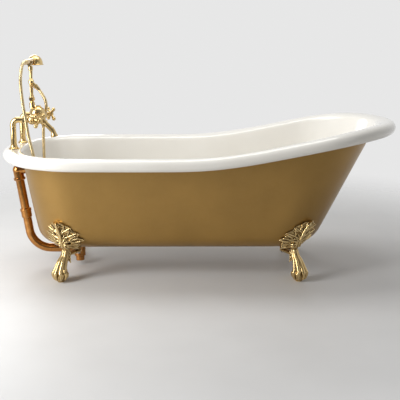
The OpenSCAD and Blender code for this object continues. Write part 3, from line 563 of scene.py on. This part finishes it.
def leaf_clay(end, foot):
    """The leaf's strokes, laid on the foot, or on the tub where they pass the foot's edge."""
    grounds = ((tree_of(foot), 0.0), (tree_of(frame["nodes"]["tub_shell"]), WALL_GAP))
    middle, (cx, cy), (lean, turn, bend) = LEAF_SPOTS[end]
    across = Vector((cx, cy, 0))
    out = Vector((cy, -cx, 0)) if end == "tap" else Vector((-cy, cx, 0))

    def on_leaf(x, z, lift):
        """The surface's point at that place of the leaf, raised by lift."""
        t = (z - LEAF_LOW) / (LEAF_TOP - LEAF_LOW)
        aside = across * (x * MM + lean + turn * t + bend * t * t)
        start = Vector(middle) + aside + out * RAY_START + Vector((0, 0, z * MM))
        for tree, gap in grounds:
            hit, normal = tree.ray_cast(start, -out)[:2]
            if hit:
                if normal.dot(out) < 0:
                    normal = -normal
                return hit + normal * (lift + gap) * MM
        return None

    plan = [(line, sizes, hand) for hand in (1, -1) for line, *sizes in leaf_fingers()]
    midrib = [(0, z) for z in (146, 172, 196, 220, 244, 254)]
    plan.append((midrib, [5.0, 5.6, 3.4, 2.4, 3.0], 1))
    for hand in (1, -1):
        plan.append(([(4, 228), (9, 238), (11, 248)], [2.4, 3.8, 2.6, 1.4, 2.0], hand))
        plan.append((scroll(17, 150, 11, 1.35, -1.2), [3.6, 3.8, 2.4, 3.6, 0.0], hand))
    strokes = []
    for points, (start, thick, tip, lift, curl), hand in plan:
        last = len(points) - 1
        line = [on_leaf(hand * x, z, lift + curl * (n / last) ** 2) for n, (x, z) in enumerate(points)]
        if all(line):
            strokes.append(clay("leaf_stroke", line, tapered(len(line), start, thick, tip)))
    return strokes


def way_at(turn):
    """The level direction at an angle from the way the foot points."""
    swing = math.radians(turn)
    return Vector((math.cos(swing), math.sin(swing), 0))


def paw_clay(place):
    """Five toes with their nails from the ankle over the ball, and a spur behind."""
    # Each starts as (out along the foot, out along the toe, height), then goes over the ball as (angle, lift)
    toe_start = ((8, 12, 130), (15, 13, 106), (30, 17, 84))
    spur_start = ((2, 6, 96), (10, 5, 84), (20, 8, 70))
    over_ball = ((48, 7.5), (68, 7.5), (90, 5.0), (112, 2.5), (126, 0.5))
    strokes = []
    for turn, begin in [(turn, toe_start) for turn in (-84, -42, 0, 42, 84)] + [(180, spur_start)]:
        away = way_at(turn)
        line = [Vector((x, 0, z)) + away * r for x, r, z in begin]
        for angle, lift in over_ball:
            bend = math.radians(angle)
            reach = BALL + lift
            rise = Vector((0, 0, reach * math.cos(bend)))
            line.append(Vector((KICK, 0, BALL)) + away * reach * math.sin(bend) + rise)
        strokes.append(foot_clay(place, "toe", line, (4.0, 6.4, 8.0, 9.6, 8.6, 6.0, 4.2, 1.4), 3))
        nail = [
            line[-2] + away * 1.5,
            line[-2] * 0.4 + line[-1] * 0.6 + away * 3.0,
            line[-1] + away * 1.0 + Vector((0, 0, -2.5)),
        ]
        strokes.append(foot_clay(place, "nail", nail, (4.6, 3.6, 1.2)))
    return strokes


def tuft_clay(place):
    """Tufts of hair in four rows down the back of the leg."""
    strokes = []
    for height, long in ((136, 18), (121, 18), (106, 17), (92, 14)):
        for turn in (125, 150, 180, 210, 235):
            away = way_at(turn)
            root = Vector((6, 0, height - 4 * abs(turn - 180) / 30)) + away * 9
            # How far out and how far down each point is from the root
            falls = ((5, 0.35), (8, 0.75), (6, 1.0))
            line = [root] + [root + away * out + Vector((0, 0, -fall * long)) for out, fall in falls]
            strokes.append(foot_clay(place, "tuft", line, (3.2, 3.8, 3.0, 1.2)))
    return strokes


def mark_hollows(piece):
    """Stores how deep each point lies below its surroundings, for the painted shade in a casting's hollows."""
    worn = twin(piece, "worn")
    modify(worn, "SMOOTH", factor=0.9, iterations=14)
    depth = piece.data.attributes.new("hollow", "FLOAT", "POINT")
    # 0.5 is level, and 1 mm deep adds another 0.5
    for old, new, mark in zip(piece.data.vertices, worn.data.vertices, depth.data):
        mark.value = 0.5 + (new.co - old.co).dot(old.normal) * 500
    bpy.data.objects.remove(worn)


def make_foot(end):
    """The near foot at one end of the bath, and its mirror image on the far side."""
    node = f"foot_{end}_near"
    base = cad_copy(node, node + "_cast")
    place = foot_frame(end)
    pick(*leaf_clay(end, base), *paw_clay(place), *tuft_clay(place), base)
    bpy.ops.object.join()
    modify(base, "REMESH", mode="VOXEL", voxel_size=MELT, use_smooth_shade=True)
    modify(base, "SMOOTH", factor=0.5, iterations=2)
    mark_hollows(base)
    wear(base, cast_gold)
    far = twin(base, f"foot_{end}_far_cast")
    far.data.transform(Matrix.Scale(-1, 4, (0, 1, 0)))
    far.data.flip_normals()
    fit(base, node)
    fit(far, f"foot_{end}_far")
    done.update({node, f"foot_{end}_far"})


make_foot("tap")
make_foot("head")


# Every other node keeps its shape, with its edges eased and its finish on

FINISHES = {
    "polished_gold": bright_gold, "copper_brass": copper_tube, "black_rubber": rubber, "zinc_steel": zinc,
}
# In degrees: faces nearer to flat than this are one face, and edges sharper than this are eased
FLAT, SHARP = 0.6, 32
EASED = 0.0005


def dress(node):
    piece = cad_copy(node, node + "_skin")
    reshape(piece, bpy.ops.mesh.dissolve_limited, angle_limit=math.radians(FLAT))
    smooth(piece, SHARP)
    modify(
        piece, "BEVEL", width=EASED, segments=2, limit_method="ANGLE", angle_limit=math.radians(SHARP),
        use_clamp_overlap=True, harden_normals=True,
    )
    modify(piece, "WEIGHTED_NORMAL", keep_sharp=True, weight=80)
    wear(piece, FINISHES[slot_of_node(node)])
    fit(piece, node)


for node in sorted(frame["nodes"]):
    if node not in done:
        dress(node)


# Floor, lights and world


def make_floor():
    """A pale floor that fades into the pale backdrop with distance, so that no horizon shows."""
    finish = Finish("pale_floor", Roughness=0.5)
    grain = finish.noise(4.0, 2.0)
    finish.set(Base_Color=finish.ramp(grain, (0.3, rgb(0.70, 0.695, 0.685)), (0.7, rgb(0.73, 0.725, 0.715))))
    distance = finish.node("VectorMath", {"operation": "LENGTH"}, [finish.place])[1]
    fade = finish.node("MapRange", {"interpolation_type": "SMOOTHSTEP"}, [distance, 1.0, 2.5, 0.0, 1.0])[0]
    solid = Socket(finish, finish.shader.outputs[0])
    clear = finish.node("BsdfTransparent")[0]
    mix = finish.node("MixShader", {}, [fade, solid, clear])[0]
    finish.tree.links.new(mix.out, finish.tree.nodes["Material Output"].inputs[0])
    select_none()
    bpy.ops.mesh.primitive_circle_add(vertices=96, radius=3.4, fill_type="NGON", location=(0, 0, 0))
    floor = wear(added("studio_floor"), finish)


def make_lamp(name, place, size, power, aim):
    lamp = bpy.data.lights.new(name, "AREA")
    lamp.shape = "RECTANGLE"
    lamp.size, lamp.size_y = size
    lamp.energy = power
    holder = put_in_scene(name, lamp)
    holder.location = place
    holder.rotation_euler = (Vector(aim) - Vector(place)).to_track_quat("-Z", "Y").to_euler()


def make_world():
    """A white backdrop behind the bath, and a dim room on the side that it is seen from."""
    world = bpy.data.worlds.new("studio")
    world.use_nodes = True
    bpy.context.scene.world = world
    tree = world.node_tree

    def wired(kind, values=(), **settings):
        node = tree.nodes.new("ShaderNode" + kind)
        for key, value in settings.items():
            setattr(node, key, value)
        for n, value in enumerate(values):
            if isinstance(value, bpy.types.NodeSocket):
                tree.links.new(value, node.inputs[n])
            elif value is not None:
                node.inputs[n].default_value = value
        return node.outputs

    # The camera sees 0.8. Polished pieces mirror 0.2 on the camera's side and up to 0.8 behind. All else is lit by 0.3
    sky = tree.nodes["Background"]
    sky.inputs["Color"].default_value = rgb(1, 1, 1)
    way = wired("SeparateXYZ", [wired("TexCoord")["Generated"]])
    side = wired("MapRange", [way["Y"], -0.9, 0.35, 0.2, 0.8], interpolation_type="SMOOTHSTEP")[0]
    path = wired("LightPath")
    mirrored = wired("Math", [path["Is Glossy Ray"], path["Is Transmission Ray"]], operation="MAXIMUM")[0]
    around = wired("Mix", [mirrored, None, 0.30, side])[0]
    room = wired("Mix", [path["Is Camera Ray"], None, around, 0.8])[0]
    tree.links.new(room, sky.inputs["Strength"])


make_floor()
make_lamp("key_light", (-2.05, -1.3, 1.1), (1.0, 1.7), 50, (-0.4, -0.1, 0.35))
make_lamp("fill_light", (2.6, -2.4, 1.4), (1.2, 1.2), 3, (0.2, 0, 0.4))
make_lamp("top_light", (-0.35, 0.2, 2.7), (2.4, 1.2), 29, (-0.3, 0, 0.4))
make_lamp("back_light", (-1.4, 2.4, 1.8), (1.2, 1.2), 16, (-0.4, 0, 0.5))
make_world()
bpy.context.scene.view_settings.view_transform = "Standard"
